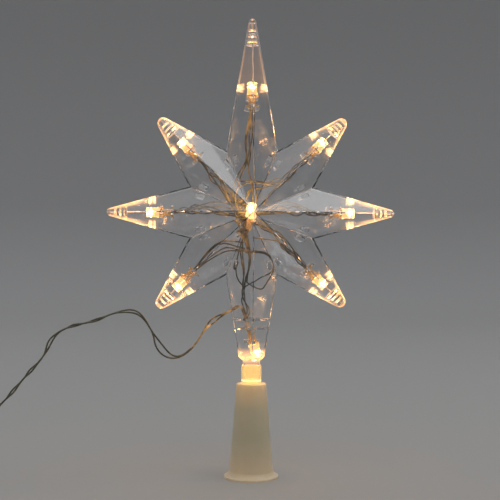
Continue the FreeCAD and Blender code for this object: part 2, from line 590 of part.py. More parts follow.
def cells():
    """Two AA cells, side by side and head to tail. The flat end of each stands off its wall by the spring's length."""
    bay_left = PACK_X - PACK_LENGTH + PACK_WALL
    body = cylinder(CELL_R, CELL_LENGTH).fuse(cylinder(NUB_R, CELL_LENGTH + NUB_LENGTH)).removeSplitter()
    places = ((bay_left + BAY_LENGTH - SPRING_ROOM, -1), (bay_left + SPRING_ROOM, 1))
    nodes = {}
    for i, (flat_end, side) in enumerate(places):
        at = Vec(flat_end, side * CELL_PITCH / 2, PACK_FLOOR + 0.35 + CELL_R)
        nodes[f"battery_{i + 1}"] = aim(body, at, X * side)
    return nodes


def contacts():
    """A spring at the flat end of each cell, and a plate at its nub."""
    bay_left, bay_right = PACK_X - PACK_LENGTH + PACK_WALL, PACK_X - PACK_LENGTH + PACK_WALL + BAY_LENGTH
    height = PACK_FLOOR + 0.35 + CELL_R
    springs, plates = [], []
    for side in (-1, 1):
        y = side * CELL_PITCH / 2
        flat_end, way, nub_wall = (bay_right, -1, bay_left) if side < 0 else (bay_left, 1, bay_right)
        helix = Part.makeLongHelix(0.72, 2.3, 3.0, 8)
        ring = Part.Wire(Part.Circle(Vec(3.0, 0, 0), Y, 0.25).toShape())
        spring = biggest(Part.Wire(helix).makePipeShell([ring], True, True))
        springs.append(aim(spring, Vec(flat_end + way * 0.75, y, height), X * way))
        for wall, face in ((flat_end, way), (nub_wall, -way)):
            low, high = sorted((wall + face * 0.02, wall + face * 0.42))
            plates.append(box((low, y - 4.5, height - 4.5), (high, y + 4.5, height + 4.5)))
    return {"contact_springs": Part.makeCompound(springs), "contact_plates": Part.makeCompound(plates)}


def circuit():
    """Board with its timer chip, and the body of the slide switch."""
    left = PACK_X - PACK_LENGTH + 2 * PACK_WALL + BAY_LENGTH + 0.5
    right = PACK_X - PACK_WALL - 0.5
    board = box((left, -13, 8.6), (right, 13, 9.8))
    chip = box((left + 3, 7.2, 9.8), (left + 7, 12, 11.2))
    middle = PACK_X - 8.2
    body = box((middle - 2.2, -5.6, 9.8), (middle + 2.2, 5.6, 14.6))
    body = body.cut(box((middle - 1.4, -4.9, 12.9), (middle + 1.4, 4.9, 15)))
    return {"circuit_board": Part.makeCompound([board, chip]), "switch_body": body}


def grommet():
    """Strain relief where the lead enters the pack."""
    out = PACK_X + 1.0
    ring = cylinder(1.85, out - (PACK_X - PACK_WALL - 0.8), Vec(PACK_X - PACK_WALL - 0.8, 0, LEAD_INLET_Z), X)
    ring = ring.fuse(cylinder(2.6, 1.0, Vec(PACK_X, 0, LEAD_INLET_Z), X)).removeSplitter()
    return ring.cut(cylinder(LEAD_R + 0.02, 8, Vec(PACK_X - 4, 0, LEAD_INLET_Z), X))


# ---------------------------------------------------------------- output
def build():
    nodes = {**shells(), **lamps(), **wiring(), **cells(), **contacts(), **circuit()}
    nodes.update(lead_outside(nodes["lead_inside"]))
    nodes.update(neck_collar=collar(), cone_socket=cone(), pack_case=pack_case(), pack_cover=pack_cover(),
                 pack_deck=pack_deck(), switch_knob=switch_knob(), lead_grommet=grommet())
    os.makedirs("parts", exist_ok=True)
    for name, shape in nodes.items():
        if not shape.isValid():
            print("not valid:", name)
        shape.exportStep(f"parts/{name}.step")
    print(len(nodes), "nodes")


build()
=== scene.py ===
"""Looks of the lit eight-pointed tree-top star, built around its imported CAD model. Metres, +Z up."""

import json
import math
import random

import bpy
from mathutils import Matrix, Vector


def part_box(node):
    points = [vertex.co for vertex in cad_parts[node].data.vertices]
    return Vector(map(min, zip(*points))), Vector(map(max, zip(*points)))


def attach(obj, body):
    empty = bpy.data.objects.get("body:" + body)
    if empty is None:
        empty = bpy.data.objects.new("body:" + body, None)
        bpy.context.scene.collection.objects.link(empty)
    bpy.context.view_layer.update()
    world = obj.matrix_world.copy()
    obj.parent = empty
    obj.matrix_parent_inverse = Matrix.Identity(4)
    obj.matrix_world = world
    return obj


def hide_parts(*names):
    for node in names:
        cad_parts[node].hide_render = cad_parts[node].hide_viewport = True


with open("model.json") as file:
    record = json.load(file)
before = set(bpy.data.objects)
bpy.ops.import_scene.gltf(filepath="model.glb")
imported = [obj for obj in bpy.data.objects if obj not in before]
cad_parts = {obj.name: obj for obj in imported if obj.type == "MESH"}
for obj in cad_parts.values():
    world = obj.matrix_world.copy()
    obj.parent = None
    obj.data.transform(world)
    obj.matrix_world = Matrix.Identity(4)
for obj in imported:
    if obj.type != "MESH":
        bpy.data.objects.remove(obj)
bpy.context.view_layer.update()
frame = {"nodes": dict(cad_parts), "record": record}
MM = 0.001
STAR = Vector((0, 0, 131.5)) * MM          # the star's centre, which every ray starts from

# ---------------------------------------------------------------- camera
CAMERA_AZIMUTH, CAMERA_DISTANCE, CAMERA_HEIGHT = math.radians(-4.0), 0.475, 0.1055
CAMERA_PITCH, CAMERA_YAW, CAMERA_ROLL, LENS = math.radians(0.9), math.radians(0.1), math.radians(0.15), 68.4


def make_camera():
    camera = bpy.data.objects.new("camera", bpy.data.cameras.new("camera"))
    bpy.context.scene.collection.objects.link(camera)
    camera.data.lens, camera.data.sensor_width = LENS, 36
    camera.location = (CAMERA_DISTANCE * math.sin(CAMERA_AZIMUTH),
                       -CAMERA_DISTANCE * math.cos(CAMERA_AZIMUTH), CAMERA_HEIGHT)
    turn = Matrix.Rotation(CAMERA_AZIMUTH + CAMERA_YAW, 4, "Z")
    tilt = Matrix.Rotation(math.pi / 2 + CAMERA_PITCH, 4, "X")
    camera.rotation_euler = (turn @ tilt @ Matrix.Rotation(CAMERA_ROLL, 4, "Z")).to_euler()
    bpy.context.scene.camera = camera


# ---------------------------------------------------------------- curves and swept meshes
def mm_points(points):
    return [Vector(p) * MM for p in points]


def smooth_line(points, resolution=12):
    """Points along the NURBS curve whose control points are given, read from the bare curve."""
    data = bpy.data.curves.new("route", "CURVE")
    data.dimensions, data.resolution_u = "3D", resolution
    spline = data.splines.new("NURBS")
    spline.points.add(len(points) - 1)
    for target, p in zip(spline.points, points):
        target.co = (*p, 1)
    spline.order_u, spline.use_endpoint_u = 3, True
    holder = bpy.data.objects.new("route", data)
    mesh = bpy.data.meshes.new_from_object(holder)
    line = [v.co.copy() for v in mesh.vertices]
    bpy.data.meshes.remove(mesh)
    bpy.data.objects.remove(holder)
    bpy.data.curves.remove(data)
    return line


def even_line(line, step):
    """The same line, with its points a step apart."""
    out, need = [line[0].copy()], step
    for a, b in zip(line, line[1:]):
        length, done = (b - a).length, 0.0
        while length - done >= need:
            done += need
            out.append(a.lerp(b, done / length))
            need = step
        need -= length - done
    out.append(line[-1].copy())
    return out


def turned_frames(line, side=None):
    """(point, side, up) along a line, with no twist from one point to the next."""
    frames = []
    for i, p in enumerate(line):
        way = (line[min(i + 1, len(line) - 1)] - line[max(i - 1, 0)]).normalized()
        if side is None:
            side = way.orthogonal().normalized()
        side = (side - way * side.dot(way)).normalized()
        frames.append((p, side, way.cross(side)))
    return frames


def ring_faces(base, rings, sides):
    """The quads between rings of vertices that follow one another from base."""
    faces = []
    for i in range(rings - 1):
        for k in range(sides):
            a, b = base + i * sides + k, base + i * sides + (k + 1) % sides
            faces.append((a, b, b + sides, a + sides))
    return faces


def end_faces(base, rings, sides):
    """The two faces that close the first and the last of the rings."""
    last = base + (rings - 1) * sides
    return [tuple(base + k for k in reversed(range(sides))), tuple(last + k for k in range(sides))]


def add_tube(verts, faces, line, radius, sides=10):
    """Adds a closed round tube along a line to lists of vertices and faces."""
    base = len(verts)
    for p, side, up in turned_frames(line):
        for k in range(sides):
            a = math.tau * k / sides
            verts.append(p + side * (radius * math.cos(a)) + up * (radius * math.sin(a)))
    faces += ring_faces(base, len(line), sides) + end_faces(base, len(line), sides)


def new_mesh(name, verts, faces, material):
    mesh = bpy.data.meshes.new(name)
    mesh.from_pydata([tuple(v) for v in verts], [], faces)
    mesh.update()
    mesh.validate()
    for polygon in mesh.polygons:
        polygon.use_smooth = True
    mesh.materials.append(material)
    piece = bpy.data.objects.new(name, mesh)
    bpy.context.scene.collection.objects.link(piece)
    return piece


def strands(line, count, spread, pitch, rng, wander=0.35):
    """Lines twisted about a line. spread(t) is how far from it they run, and t goes from 0 to 1."""
    frames, last = turned_frames(line), len(line) - 1
    step = (line[1] - line[0]).length
    lines = []
    for n in range(count):
        phase, waves = rng.uniform(-0.3, 0.3), [rng.uniform(0, math.tau) for _ in range(3)]
        strand = []
        for i, (p, side, up) in enumerate(frames):
            s, t = i * step, i / last
            turn = math.tau * (s / pitch + n / count) + phase
            turn += wander * 1.4 * math.sin(s / (2.1 * pitch) * math.tau + waves[0])
            out = spread(t) * (1 + wander * (0.6 * math.sin(s / (1.3 * pitch) * math.tau + waves[1]) + 0.4 *
                                             math.sin(s / (0.57 * pitch) * math.tau + waves[2])))
            strand.append(p + side * (out * math.cos(turn)) + up * (out * math.sin(turn)))
        lines.append(strand)
    return lines


def at_station(stations, s):
    """The value at s, eased between stations, which are (s, value)."""
    for (a, low), (b, high) in zip(stations, stations[1:]):
        if s < b:
            t = max(0.0, (s - a) / (b - a))
            return low + (high - low) * t * t * (3 - 2 * t)
    return stations[-1][1]


# ---------------------------------------------------------------- materials
GLOW = 35.0                       # radiance of the lamps' phosphor
WIRE_GLOW = 0.36                  # radiance of the wires' insulation beside a lamp
# Radiance of the painted glow that stands for light leaking from the shell's plastic: walls, tips' rims, beside the
# lamps, neck, anywhere.
WALL_GLOW, RIM_GLOW, BESIDE_GLOW, NECK_GLOW, SHELL_GLOW = 0.55, 0.28, 0.9, 0.32, 0.0004
SIDE_LAMP_AT, TOP_LAMP_AT = 46 * MM, 59 * MM     # where the lamps' flanges are, out from the centre
LIT_REACH = 40 * MM               # how far the walls' light is graded, before and past the flanges
PATCH_REACH = 10 * MM             # and how far past them the lit patches beside the lamps are
PATCH_FROM, PATCH_FULL = 3.6 * MM, 4.8 * MM      # the patches' inner edge, off the ray's axis
RIM_AT, RIM_TAPER = 5.4 * MM, 0.19               # the tips' lit rim: off the ray's axis, and its taper
RIM_SOFT, SLANT_SOFT = 0.6 * MM, 0.8 * MM        # how softly the rim and the slanting tips' lit ends begin
SLANT_END_AT = 17.9 * MM          # past the lamps, where the slanting tips' lit ends begin
SLANT_HALF_WIDTH = 9 * MM         # off a slanting axis, what still counts as that ray
NECK_FROM, NECK_TO = 50 * MM, 70 * MM            # heights between which the neck's light is graded
CONE_TOP, COLLAR_GLOW_BAND_TOP = 46.5 * MM, 49.5 * MM
WIRE_REACH = 100 * MM             # from the star's centre, how far the wires' light is graded
RAY_HALF_WIDTH = 20 * MM          # either side of the upright rays' axis
DARK_RAY_TOP, DARK_RAY_FOOT = STAR.z - 30 * MM, STAR.z - 46 * MM    # no lamp lights the wires between these


class Shader:
    """A node tree being built. Each method adds one node and returns its output."""

    def __init__(self, name):
        self.material = bpy.data.materials.new(name)
        self.material.use_nodes = True
        self.tree = self.material.node_tree
        self.bsdf = self.tree.nodes["Principled BSDF"]
        self.output = self.tree.nodes["Material Output"]
        coordinates = self.tree.nodes.new("ShaderNodeTexCoord")
        self.place, self.normal = coordinates.outputs["Object"], coordinates.outputs["Normal"]

    def link(self, a, b):
        self.tree.links.new(a, b)

    def set(self, **values):
        for name, value in values.items():
            self.bsdf.inputs[name.replace("_", " ")].default_value = value
        return self

    def noise(self, scale, detail=4.0, place=None):
        node = self.tree.nodes.new("ShaderNodeTexNoise")
        node.inputs["Scale"].default_value = scale
        node.inputs["Detail"].default_value = detail
        node.inputs["Roughness"].default_value = 0.55
        self.link(place or self.place, node.inputs["Vector"])
        return node.outputs["Fac"]

    def ramp(self, value, *stops):
        """stops are (position, value or colour)."""
        node = self.tree.nodes.new("ShaderNodeValToRGB")
        marks = node.color_ramp.elements
        while len(marks) < len(stops):
            marks.new(0.5)
        for mark, (position, colour) in zip(marks, stops):
            mark.position = position
            mark.color = (*colour, 1) if isinstance(colour, tuple) else (colour, colour, colour, 1)
        self.link(value, node.inputs["Fac"])
        return node.outputs["Color"]

    def scaled(self, factors):
        node = self.tree.nodes.new("ShaderNodeMapping")
        node.inputs["Scale"].default_value = factors
        self.link(self.place, node.inputs["Vector"])
        return node.outputs["Vector"]

    def axis(self, name, vector=None):
        node = self.tree.nodes.new("ShaderNodeSeparateXYZ")
        self.link(vector or self.place, node.inputs["Vector"])
        return node.outputs[name]

    def math(self, operation, a, b=0):
        node = self.tree.nodes.new("ShaderNodeMath")
        node.operation = operation
        for socket, value in zip(node.inputs, (a, b)):
            if isinstance(value, (int, float)):
                socket.default_value = value
            else:
                self.link(value, socket)
        return node.outputs["Value"]

    def times(self, a, b):
        return self.math("MULTIPLY", a, b)

    def most(self, a, b):
        return self.math("MAXIMUM", a, b)

    def less(self, a, b):
        return self.math("SUBTRACT", a, b)

    def size(self, value):
        return self.math("ABSOLUTE", value)

    def span(self, value, low, high):
        """value mapped from low..high to 0..1, clamped."""
        node = self.tree.nodes.new("ShaderNodeMapRange")
        self.link(value, node.inputs["Value"])
        node.inputs["From Min"].default_value = low
        node.inputs["From Max"].default_value = high
        return node.outputs["Result"]

    def bump(self, height, distance, strength=1.0):
        node = self.tree.nodes.new("ShaderNodeBump")
        node.inputs["Distance"].default_value = distance
        node.inputs["Strength"].default_value = strength
        self.link(height, node.inputs["Height"])
        self.link(node.outputs["Normal"], self.bsdf.inputs["Normal"])
        return self

    def colour(self, value):
        self.link(value, self.bsdf.inputs["Base Color"])
        return self

    def rough(self, value):
        self.link(value, self.bsdf.inputs["Roughness"])
        return self

    def lets_lamps_through(self, tint=(1, 1, 1)):
        """The lamps inside light what is outside: for shadow rays the surface is clear."""
        path = self.tree.nodes.new("ShaderNodeLightPath")
        clear = self.tree.nodes.new("ShaderNodeBsdfTransparent")
        clear.inputs["Color"].default_value = (*tint, 1)
        mix = self.tree.nodes.new("ShaderNodeMixShader")
        self.link(path.outputs["Is Shadow Ray"], mix.inputs["Fac"])
        self.link(self.bsdf.outputs["BSDF"], mix.inputs[1])
        self.link(clear.outputs["BSDF"], mix.inputs[2])
        self.link(mix.outputs["Shader"], self.output.inputs["Surface"])
        return self


def along_rays(s):
    """(how far past its lamp a point of the shell is, the same on the slanting rays only, how far off its ray)."""
    across, height = s.size(s.axis("X")), s.size(height_in_star(s))
    off_slant = s.times(s.size(s.less(across, height)), math.sqrt(0.5))
    slant = s.times(s.math("ADD", across, height), math.sqrt(0.5))
    slant = s.less(slant, s.math("GREATER_THAN", off_slant, SLANT_HALF_WIDTH))
    past = s.less(s.most(across, slant), SIDE_LAMP_AT)
    past = s.most(past, s.less(height_in_star(s), TOP_LAMP_AT))
    off = s.math("MINIMUM", s.math("MINIMUM", across, height), off_slant)
    return past, s.less(slant, SIDE_LAMP_AT), off


def height_in_star(s):
    return s.less(s.axis("Z"), STAR.z)


def lit_walls(s, past):
    """Painted glow for the light that the walls pipe, most of it past the lamps, seen where a wall is edge on to
    the front.
    """
    piped = s.ramp(s.span(past, -LIT_REACH, LIT_REACH), (0.0, 0.004), (0.45, 0.01), (0.5, 0.08), (0.53, 0.8),
                   (0.6, 0.8), (0.64, 0.6), (0.7, 0.55), (0.75, 0.5), (0.8, 0.3), (1.0, 0.3))
    edge = s.span(s.size(s.axis("Y", s.normal)), 0.75, 0.3)
    return s.times(s.times(piped, edge), WALL_GLOW)


def lit_neck(s):
    # Painted glow on the shell's neck, graded by height.
    neck = s.ramp(s.span(s.axis("Z"), NECK_FROM, NECK_TO), (0.0, 0.3), (0.33, 0.3), (0.4, 1.0), (0.52, 0.8),
                  (0.72, 0.0))
    return s.times(neck, NECK_GLOW)


def lit_rims(s, past, past_on_slant, off):
    """Painted glow on the outline of the tips, with the slanting ones' ends, and without the top one's."""
    within = s.less(off, s.less(RIM_AT, s.times(past, RIM_TAPER)))
    graded = s.ramp(s.span(past, 0.0, LIT_REACH), (0.1, 0.0), (0.2, 0.3), (0.3, 1.0), (0.6, 1.0), (0.66, 0.25),
                    (1.0, 0.25))
    rim = s.times(s.span(within, 0.0, RIM_SOFT), graded)
    slant_end = s.span(past_on_slant, SLANT_END_AT, SLANT_END_AT + SLANT_SOFT)
    below_top = s.math("LESS_THAN", height_in_star(s), TOP_LAMP_AT)
    return s.times(s.times(s.most(rim, slant_end), below_top), RIM_GLOW)


def lit_patches(s, past, off):
    """Painted glow on the patches of the shell's wall that each lamp lights at its sides."""
    graded = s.ramp(s.span(past, 0.0, PATCH_REACH), (0.17, 0.0), (0.21, 1.0), (0.32, 0.35), (0.4, 0.9), (0.5, 0.8),
                    (0.54, 0.0))
    patches = s.times(graded, s.span(off, PATCH_FROM, PATCH_FULL))
    return s.times(s.times(patches, s.ramp(s.noise(600), (0.4, 0.35), (0.6, 1.0))), BESIDE_GLOW)


def clear_shell():
    """Clear plastic, with a painted glow, placed by position in the star, for the light that it carries from the
    lamps.
    """
    s = Shader("clear_shell").set(Base_Color=(0.98, 0.98, 0.985, 1), Transmission_Weight=1.0, IOR=1.5)
    s.rough(s.ramp(s.noise(140), (0.35, 0.008), (0.75, 0.03)))
    past, past_on_slant, off = along_rays(s)
    glow = s.most(s.most(lit_walls(s, past), lit_neck(s)), lit_rims(s, past, past_on_slant, off))
    glow = s.math("ADD", glow, lit_patches(s, past, off))
    s.link(s.math("ADD", glow, SHELL_GLOW), s.bsdf.inputs["Emission Strength"])
    s.link(s.ramp(glow, (0.0, (0.9, 0.95, 1.0)), (0.02, (1.0, 0.42, 0.12)), (0.3, (1.0, 0.44, 0.12)),
                  (0.42, (1.0, 0.6, 0.25))), s.bsdf.inputs["Emission Color"])
    s.material.cycles.emission_sampling = "NONE"
    return s.bump(s.noise(55, 2.0), 0.3 * MM, 0.22).lets_lamps_through((0.97, 0.97, 0.97))


def lamp_lens():
    s = Shader("lamp_lens").set(Base_Color=(1.0, 0.95, 0.86, 1), Transmission_Weight=1.0, IOR=1.5,
                                Emission_Color=(1.0, 0.5, 0.16, 1), Emission_Strength=0.5)
    s.rough(s.ramp(s.noise(900), (0.3, 0.02), (0.7, 0.07)))
    return s.lets_lamps_through()


def lamp_glow():
    """The lit phosphor over the chip, a little uneven."""
    s = Shader("lamp_glow").set(Base_Color=(0.9, 0.7, 0.3, 1), Roughness=0.6, Emission_Color=(1.0, 0.5, 0.17, 1))
    s.link(s.ramp(s.noise(1800), (0.3, 0.8), (0.7, 1.0)), s.bsdf.inputs["Base Color"])
    uneven = s.ramp(s.noise(1500), (0.3, 0.75), (0.7, 1.0))
    s.link(s.times(uneven, GLOW), s.bsdf.inputs["Emission Strength"])
    s.material.cycles.emission_sampling = "NONE"
    return s.lets_lamps_through()


def lamp_sleeve():
    # The sleeve's faint emission is a painted glow for the lamp's light scattered in it.
    s = Shader("lamp_sleeve").set(Base_Color=(1.0, 0.86, 0.62, 1), Transmission_Weight=0.75, IOR=1.35,
                                  Emission_Color=(1.0, 0.5, 0.16, 1), Emission_Strength=0.04)
    s.rough(s.ramp(s.noise(700), (0.3, 0.12), (0.7, 0.3)))
    return s.bump(s.noise(900, 3.0), 0.1 * MM, 0.5).lets_lamps_through((1.0, 0.85, 0.6))


def tinned_steel():
    s = Shader("tinned_steel").set(Metallic=1.0)
    s.colour(s.ramp(s.noise(1200), (0.3, (0.62, 0.61, 0.58)), (0.7, (0.78, 0.77, 0.74))))
    return s.rough(s.ramp(s.noise(600), (0.3, 0.18), (0.7, 0.38)))


def painted_glow_near_lamps(s):
    """Mask for the wires' painted glow, by how near a lamp a point of the wires is: 1 beside the rays' lamps, and
    on the free lead's start.
    """
    x2, y2, z2 = (s.times(side, side) for side in (s.axis("X"), s.axis("Y"), height_in_star(s)))
    away = s.math("SQRT", s.math("ADD", x2, s.math("ADD", y2, z2)))
    near = s.ramp(s.span(away, 0.0, WIRE_REACH), (0.0, 1.2), (0.12, 1.0), (0.2, 0.35), (0.34, 0.15), (0.43, 1.0),
                  (0.6, 1.0), (0.65, 0.0))
    in_side_ray = s.math("GREATER_THAN", s.size(s.axis("X")), RAY_HALF_WIDTH)
    above = s.math("GREATER_THAN", s.axis("Z"), DARK_RAY_TOP)
    below = s.math("LESS_THAN", s.axis("Z"), DARK_RAY_FOOT)
    near = s.times(near, s.most(in_side_ray, s.most(above, below)))
    lead_start = s.times(s.span(s.axis("X"), -42 * MM, -33 * MM), s.span(away, 55 * MM, 62 * MM))
    return s.math("ADD", near, lead_start)


def wire_insulation():
    """Translucent insulation, with a painted amber glow and painted glints near the lamps for the little of the
    lamps' light that it carries.
    """
    s = Shader("wire_insulation").set(Specular_IOR_Level=0.9)
    s.colour(s.ramp(s.noise(260), (0.3, (0.075, 0.068, 0.032)), (0.75, (0.19, 0.175, 0.1))))
    s.rough(s.ramp(s.noise(500), (0.3, 0.22), (0.7, 0.4)))
    s.bsdf.inputs["Emission Color"].default_value = (1.0, 0.48, 0.14, 1)
    # Painted glints: the wires' glow is broken up by noise.
    painted_glints = s.times(s.ramp(s.noise(240, 3.0), (0.46, 0.06), (0.62, 1.0)), WIRE_GLOW)
    s.link(s.times(painted_glow_near_lamps(s), painted_glints), s.bsdf.inputs["Emission Strength"])
    return s.bump(s.noise(1500), 0.05 * MM, 0.4)


def frosted_collar():
    s = Shader("frosted_collar").set(Base_Color=(0.95, 0.84, 0.58, 1), Transmission_Weight=0.85, IOR=1.45,
                                     Emission_Color=(1.0, 0.68, 0.3, 1))
    # Painted glow in bands by height: a bright ring where the cone's rim meets the collar at rest, which stays on
    # the collar when the cone is pulled off.
    painted_glow_bands = s.ramp(s.span(s.axis("Z"), CONE_TOP, COLLAR_GLOW_BAND_TOP), (0.0, 0.2), (0.35, 0.2), (0.45, 0.7), (0.6, 0.7),
                   (0.7, 0.16), (1.0, 0.16))
    s.link(painted_glow_bands, s.bsdf.inputs["Emission Strength"])
    s.rough(s.ramp(s.noise(500), (0.3, 0.12), (0.7, 0.3)))
    return s.lets_lamps_through((1.0, 0.92, 0.75))


def milky_cone():
    s = Shader("milky_cone").set(Subsurface_Weight=0.7, Subsurface_Scale=0.006, Specular_IOR_Level=0.5)
    s.bsdf.inputs["Subsurface Radius"].default_value = (0.9, 0.8, 0.5)
    s.colour(s.ramp(s.noise(60), (0.3, (0.7, 0.66, 0.48)), (0.7, (0.75, 0.71, 0.53))))
    s.rough(s.ramp(s.noise(900), (0.3, 0.38), (0.7, 0.5)))
    height = s.span(s.axis("Z"), 0.0, CONE_TOP)
    # Painted glow by height, for lamp light in the milky plastic: brightest at the top and at the foot, faint
    # between.
    s.bsdf.inputs["Emission Color"].default_value = (1.0, 0.5, 0.18, 1)
    glow = s.ramp(height, (0.0, 0.10), (0.12, 0.075), (0.4, 0.012), (0.75, 0.02), (0.93, 0.09), (1.0, 0.14))
    s.link(glow, s.bsdf.inputs["Emission Strength"])
    return s.bump(s.noise(1400, 3.0), 0.05 * MM, 0.35)


def moulded(name, low, high, grain=2200.0):
    """Matte moulded plastic with a fine spark-eroded texture."""
    s = Shader(name).set(Specular_IOR_Level=0.45)
    s.colour(s.ramp(s.noise(40), (0.35, low), (0.7, high)))
    s.rough(s.ramp(s.noise(350), (0.3, 0.42), (0.7, 0.6)))
    return s.bump(s.noise(grain, 3.0), 0.08 * MM, 0.5)


def cell_jacket():
    """Two-colour film, with the bare metal of the nub and the rim at the ends."""
    s = Shader("cell_jacket").set(Coat_Weight=0.6, Coat_Roughness=0.1)
    low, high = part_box("battery_1")
    along = s.span(s.axis("X"), low[0], high[0])
    s.colour(s.ramp(along, (0.0, (0.75, 0.75, 0.72)), (0.03, (0.75, 0.75, 0.72)), (0.031, (0.02, 0.05, 0.11)),
                    (0.68, (0.02, 0.05, 0.11)), (0.681, (0.55, 0.4, 0.16)), (1.0, (0.55, 0.4, 0.16))))
    s.rough(s.ramp(s.noise(300), (0.3, 0.2), (0.7, 0.35)))
    return s


def circuit_laminate():
    s = Shader("circuit_laminate").set(Coat_Weight=0.4)
    s.colour(s.ramp(s.noise(500, place=s.scaled((1.0, 0.2, 1.0))), (0.48, (0.012, 0.09, 0.03)),
                    (0.52, (0.02, 0.16, 0.05))))
    return s.rough(s.ramp(s.noise(300), (0.3, 0.3), (0.7, 0.45)))


def stage_paper():
    s = Shader("stage_paper").set(Specular_IOR_Level=0.2, Roughness=0.85)
    # Painted shade: the paper is coloured darker from the floor up into the wall, standing for the light falling
    # off with height.
    height = s.span(s.axis("Z"), -0.1, 0.9)
    return s.colour(s.ramp(height, (0.09, (0.475, 0.472, 0.46)), (0.14, (0.46, 0.46, 0.46)),
                           (0.35, (0.365, 0.365, 0.367)), (0.8, (0.35, 0.35, 0.352))))


MATERIALS = {
    "clear_shell": clear_shell(), "lamp_lens": lamp_lens(), "lamp_glow": lamp_glow(), "lamp_sleeve": lamp_sleeve(),
    "tinned_steel": tinned_steel(), "wire_insulation": wire_insulation(), "frosted_collar": frosted_collar(),
    "milky_cone": milky_cone(), "pack_plastic": moulded("pack_plastic", (0.55, 0.52, 0.44), (0.6, 0.57, 0.49)),
    "dark_plastic": moulded("dark_plastic", (0.012, 0.012, 0.014), (0.03, 0.03, 0.033)),
    "cell_jacket": cell_jacket(), "circuit_laminate": circuit_laminate(),
    "tie_plastic": moulded("tie_plastic", (0.03, 0.04, 0.02), (0.05, 0.06, 0.03)),
    "grommet_rubber": moulded("grommet_rubber", (0.02, 0.02, 0.014), (0.04, 0.04, 0.03), 1200.0),
}
MATERIALS = {name: s.material for name, s in MATERIALS.items()}


def dress_cad_nodes():
    slots = {row["node"]: row["material_slot"] for row in frame["record"]["subparts"]}
    for name, node in frame["nodes"].items():
        node.data.materials.clear()
        node.data.materials.append(MATERIALS[slots[name]])


# ---------------------------------------------------------------- the free lead
WIRE_R, THIN_WIRE_R, LEAD_ACROSS = 0.425 * MM, 0.35 * MM, 1.7 * MM
LEAD_OUTSIDE = [
    (-10.6, 0.0, 82.6), (-16.8, -0.4, 79.8), (-22.8, -1.0, 74.6), (-28.0, -1.6, 65.4), (-36.6, -2.4, 58.7),
    (-44.6, -3.2, 62.4), (-50.0, -3.8, 74.4), (-56.2, -4.2, 83.0), (-66.8, -4.6, 82.4), (-77.6, -4.6, 77.6),
    (-89.8, -4.4, 75.4), (-98.2, -3.8, 70.0), (-101.6, -3.0, 60.6), (-110.0, -2.2, 51.8), (-119.4, -1.4, 40.4),
    (-126.4, -0.9, 33.6), (-131.0, -0.8, 24.8), (-134.6, -1.6, 15.6), (-137.8, -3.6, 6.2), (-140.6, -6.4, 1.3),
]
LEAD_TO_PACK = [(-157.4, -11.0, 2.9), (-163.6, -9.6, 3.3), (-168.8, -6.2, 4.1), (-173.2, -2.3, 5.2),
                (-177.9, 0.0, 6.0), (-183.2, 0.0, 6.0)]
COIL_CENTRE = Vector((-150.0, 0.0))
# Radius and height of each turn, and of the last quarter turn, which leaves the coil.
COIL_TURNS = ((11.2, 1.4), (9.5, 1.4), (7.8, 1.4), (8.6, 2.95), (10.3, 2.95), (11.0, 3.1))
COIL_START, TURN_POINTS, LAST_POINTS = math.radians(-52), 14, 2


def coil_points():
    """Turns of the coil, clockwise from above, each easing into the next near its end."""
    points, total = [], (len(COIL_TURNS) - 1) * TURN_POINTS + LAST_POINTS
    for i in range(total):
        turn, part = divmod(i, TURN_POINTS)
        radius, height = COIL_TURNS[turn]
        following = COIL_TURNS[min(turn + 1, len(COIL_TURNS) - 1)]
        ease = max(0.0, (part / TURN_POINTS - 0.6) / 0.4)
        radius += (following[0] - radius) * ease
        height += (following[1] - height) * ease
        a = COIL_START - math.tau * i / TURN_POINTS
        points.append((COIL_CENTRE.x + radius * math.cos(a), COIL_CENTRE.y + radius * math.sin(a), height))
    return points


# Along the lead from the notch, in mm: half turns of its twist so far, and how far its wires are off its middle.
LEAD_TWIST = [(0, 0.1), (20, 1), (33, 1.2), (45, 1.5), (57, 2), (81, 3), (93, 4), (103.5, 5), (124, 6), (136.5, 7),
              (150.5, 8), (162, 9), (174, 10), (185, 11), (196, 12), (206, 13.2)]
LEAD_APART = [(0, 0.43), (10, 0.95), (20, 0.44), (33, 0.43), (45, 1.6), (57, 0.45), (69, 0.7), (81, 0.4), (92, 0.5),
              (104, 0.4), (114, 0.8), (124, 0.42), (130, 0.6), (137, 0.42), (144, 0.6), (151, 0.42), (160, 0.55),
              (180, 0.5), (206, 0.43)]
COIL_HALF_TURN = 4.6                             # mm along the lead, in the coil and after it
LEAD_STEP, WIRE_STEP, KNOT_STEP = 0.6 * MM, 0.7 * MM, 0.35 * MM    # between points of the swept lines


def lead_wires(line):
    """The two wires of the lead, loosely twisted as far as the coil and tightly from there on."""
    step, coil_from = (line[1] - line[0]).length / MM, LEAD_TWIST[-1][0]
    wires = [[], []]
    for i, (p, side, up) in enumerate(turned_frames(line, Vector((0, 1, 0)))):
        s = i * step
        half_turns = at_station(LEAD_TWIST, s) + max(0.0, s - coil_from) / COIL_HALF_TURN
        a, off = math.pi * half_turns, at_station(LEAD_APART, s) * MM
        out = side * (off * math.cos(a)) + up * (off * math.sin(a))
        wires[0].append(p + out)
        wires[1].append(p - out)
    return wires


def make_lead():
    route = mm_points(LEAD_OUTSIDE + coil_points() + LEAD_TO_PACK)
    line = even_line(smooth_line(route), LEAD_STEP)
    verts, faces = [], []
    for wire in lead_wires(line):
        add_tube(verts, faces, wire, WIRE_R)
    lead = new_mesh("lead", verts, faces, MATERIALS["wire_insulation"])
    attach(lead, "star")
    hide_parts("lead_cord", "lead_coil", "lead_tail")


